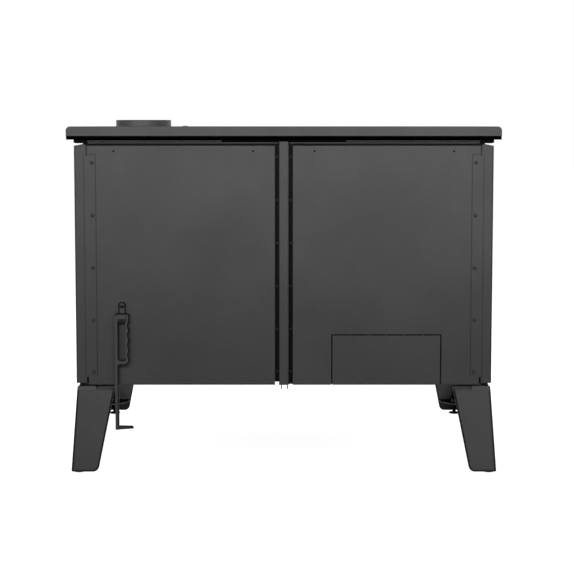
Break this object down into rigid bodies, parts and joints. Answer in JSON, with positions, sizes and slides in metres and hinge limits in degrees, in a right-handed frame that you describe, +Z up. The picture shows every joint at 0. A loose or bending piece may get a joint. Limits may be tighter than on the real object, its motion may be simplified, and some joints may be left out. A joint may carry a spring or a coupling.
{
  "type": "wood cook stove",
  "caption": "Wood cook stove on splayed legs: a firebox and an oven side by side under a thick cooktop, with rear heat shields and a flue collar.",
  "frame": {"origin": "on the floor, in the middle of the outline", "axes": "+X to the right seen from the front, +Y to the back, +Z up; the doors face -Y"},
  "size_m": [1.1286, 0.729, 0.9313],
  "materials": {
    "cast_top": "matt heat-proof paint on a thick plate",
    "black_trim": "matt black",
    "rope": "woven glass rope",
    "stove_paint": "matt charcoal heat-proof paint",
    "inner_steel": "dull black sheet",
    "zinc_steel": "dull zinc",
    "chrome_wire": "polished",
    "firebrick": "rough fired clay",
    "grate_iron": "raw casting",
    "door_glass": "clear heat-proof glass",
    "handle_black": "satin black",
    "needle_black": "matt black"
  },
  "bodies": {
    "root": {"cooktop": "cast_top", "cooktop_rim": "black_trim", "cooktop_gasket": "rope", "top_frame": "stove_paint", "flue_collar": "black_trim", "cooktop_bolt": "cast_top", "base_pan": "inner_steel", "side_panel_left": "stove_paint", "side_panel_right": "stove_paint", "back_plate": "inner_steel", "front_plate": "stove_paint", "rear_shield_left": "stove_paint", "rear_shield_right": "stove_paint", "rear_channel": "stove_paint", "rear_bracket": "inner_steel", "shield_screws": "zinc_steel", "leg_front_left": "stove_paint", "leg_front_right": "stove_paint", "leg_rear_left": "stove_paint", "leg_rear_right": "stove_paint", "leg_bolts": "zinc_steel", "firebox_shell": "inner_steel", "floor_bricks": "firebrick", "wall_bricks": "firebrick", "fire_grate": "grate_iron", "air_tubes": "zinc_steel", "baffle_boards": "firebrick", "air_inlet_box": "inner_steel", "drawer_runners": "inner_steel", "oven_casing": "inner_steel", "oven_box": "inner_steel", "flue_partition": "inner_steel", "smoke_duct": "inner_steel", "hinge_brackets": "stove_paint", "hinge_pins": "zinc_steel", "tool_hook": "stove_paint"},
    "firebox_door": {"firebox_door": "stove_paint", "firebox_glass": "door_glass", "firebox_gasket": "rope", "firebox_retainers": "inner_steel"},
    "firebox_latch": {"firebox_latch": "handle_black"},
    "oven_door": {"oven_door": "stove_paint", "oven_glass": "door_glass", "oven_gasket": "rope", "oven_retainers": "inner_steel", "thermometer": "chrome_wire"},
    "oven_latch": {"oven_latch": "handle_black"},
    "thermometer_needle": {"thermometer_needle": "needle_black"},
    "ash_drawer": {"ash_drawer": "stove_paint"},
    "soot_flap": {"soot_flap": "stove_paint"},
    "air_control": {"air_control": "inner_steel"},
    "bypass_damper": {"bypass_damper": "inner_steel"},
    "oven_rack_upper": {"oven_rack_upper": "chrome_wire"},
    "oven_rack_lower": {"oven_rack_lower": "chrome_wire"},
    "hob_lid": {"hob_lid": "cast_top"},
    "leveler_front_left": {"leveler_front_left": "zinc_steel"},
    "leveler_front_right": {"leveler_front_right": "zinc_steel"},
    "leveler_rear_left": {"leveler_rear_left": "zinc_steel"},
    "leveler_rear_right": {"leveler_rear_right": "zinc_steel"},
    "soot_rake": {"soot_rake": "handle_black"}
  },
  "joints": [
    {"name": "firebox_door_hinge", "type": "hinge", "parent": "root", "child": "firebox_door", "pos_m": [-0.508, -0.3223, 0.59], "axis": [0, 0, -1], "range_deg": [0, 110]},
    {"name": "firebox_latch_turn", "type": "hinge", "parent": "firebox_door", "child": "firebox_latch", "pos_m": [-0.02, -0.34, 0.59], "axis": [0, 1, 0], "range_deg": [0, 90]},
    {"name": "oven_door_hinge", "type": "hinge", "parent": "root", "child": "oven_door", "pos_m": [0.508, -0.3223, 0.59], "axis": [0, 0, 1], "range_deg": [0, 110]},
    {"name": "oven_latch_turn", "type": "hinge", "parent": "oven_door", "child": "oven_latch", "pos_m": [0.02, -0.34, 0.59], "axis": [0, -1, 0], "range_deg": [0, 90]},
    {"name": "thermometer_turn", "type": "hinge", "parent": "oven_door", "child": "thermometer_needle", "pos_m": [0.253, -0.34, 0.754], "axis": [0, 1, 0], "range_deg": [0, 240]},
    {"name": "ash_drawer_slide", "type": "slide", "parent": "root", "child": "ash_drawer", "axis": [0, -1, 0], "range_m": [0, 0.35]},
    {"name": "soot_flap_hinge", "type": "hinge", "parent": "root", "child": "soot_flap", "pos_m": [0.253, -0.3108, 0.381], "axis": [-1, 0, 0], "range_deg": [0, 80]},
    {"name": "air_control_slide", "type": "slide", "parent": "root", "child": "air_control", "axis": [0, -1, 0], "range_m": [0, 0.045]},
    {"name": "bypass_damper_slide", "type": "slide", "parent": "root", "child": "bypass_damper", "axis": [0, -1, 0], "range_m": [0, 0.07]},
    {"name": "upper_rack_slide", "type": "slide", "parent": "root", "child": "oven_rack_upper", "axis": [0, -1, 0], "range_m": [0, 0.025]},
    {"name": "lower_rack_slide", "type": "slide", "parent": "root", "child": "oven_rack_lower", "axis": [0, -1, 0], "range_m": [0, 0.025]},
    {"name": "hob_lid_lift", "type": "slide", "parent": "root", "child": "hob_lid", "axis": [0, 0, 1], "range_m": [0, 0.06]},
    {"name": "soot_rake_swing", "type": "hinge", "parent": "root", "child": "soot_rake", "pos_m": [0.4254, 0.3495, 0.406], "axis": [0, 1, 0], "range_deg": [-3, 0]},
    {"name": "leveler_front_left_turn", "type": "hinge", "parent": "root", "child": "leveler_front_left", "pos_m": [-0.54243, -0.29505, 0.02], "axis": [0, 0, 1], "continuous": true},
    {"name": "leveler_front_right_turn", "type": "hinge", "parent": "root", "child": "leveler_front_right", "pos_m": [0.54243, -0.29505, 0.02], "axis": [0, 0, 1], "continuous": true},
    {"name": "leveler_rear_left_turn", "type": "hinge", "parent": "root", "child": "leveler_rear_left", "pos_m": [-0.54243, 0.33405, 0.02], "axis": [0, 0, 1], "continuous": true},
    {"name": "leveler_rear_right_turn", "type": "hinge", "parent": "root", "child": "leveler_rear_right", "pos_m": [0.54243, 0.33405, 0.02], "axis": [0, 0, 1], "continuous": true}
  ]
}
